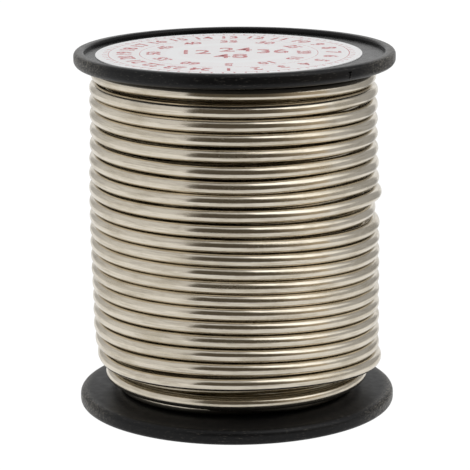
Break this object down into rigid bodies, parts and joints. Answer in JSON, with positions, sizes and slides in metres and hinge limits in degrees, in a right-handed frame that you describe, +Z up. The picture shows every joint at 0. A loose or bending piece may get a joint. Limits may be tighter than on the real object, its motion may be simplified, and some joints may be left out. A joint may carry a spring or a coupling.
{
  "type": "solder wire spool",
  "caption": "Black moulded reel wound with thick bare solder wire, with a round paper label on its top flange and a blind spindle bore through its hub.",
  "frame": {"origin": "centre of the ring that the reel stands on, at the lowest point of the part", "axes": "+Z up along the reel's axis, towards the labelled flange; -Y towards the front that the picture shows"},
  "size_m": [0.07, 0.07, 0.079],
  "materials": {
    "reel_plastic": "satin",
    "label_paper": "matte",
    "solder_wire": "satin"
  },
  "bodies": {
    "root": {"top_flange": "reel_plastic", "bottom_flange": "reel_plastic", "barrel": "reel_plastic", "front_label": "label_paper", "solder_inner_layers": "solder_wire", "solder_outer_layer": "solder_wire"}
  },
  "joints": []
}
